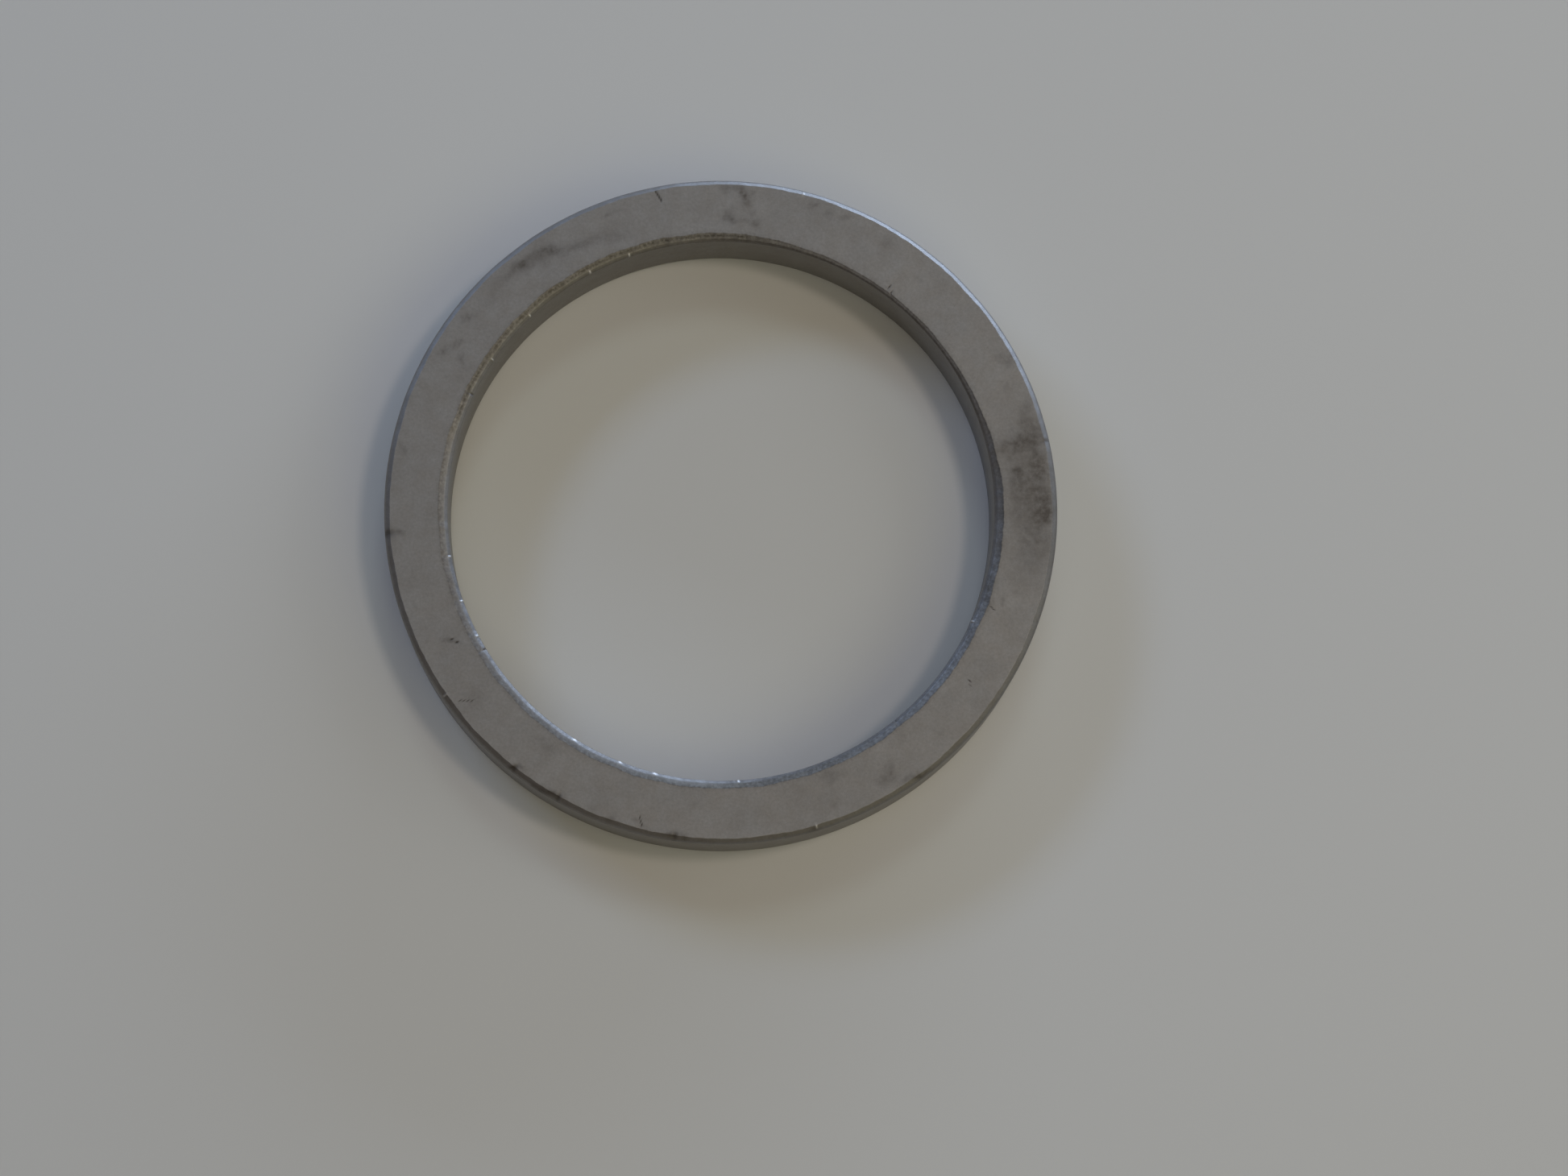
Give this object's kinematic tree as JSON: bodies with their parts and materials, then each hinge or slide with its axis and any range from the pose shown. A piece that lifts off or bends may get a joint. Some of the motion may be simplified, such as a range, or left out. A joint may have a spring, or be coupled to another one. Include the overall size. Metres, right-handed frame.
{
  "type": "flat washer",
  "caption": "Thick, narrow flat steel washer or spacer ring with ground faces, a turned rim, a plain through bore and lightly broken edges.",
  "frame": {"origin": "centre of the bore, in the plane of the lower face", "axes": "+Z along the bore axis, up out of the upper face; the ring is round, so X and Y are free"},
  "size_m": [0.0508, 0.0508, 0.0063],
  "materials": {
    "ground_steel": "satin ground faces and turned walls, bare steel with light handling stains, fine scratches and small nicks"
  },
  "bodies": {
    "root": {"washer_ring": "ground_steel"}
  },
  "joints": []
}
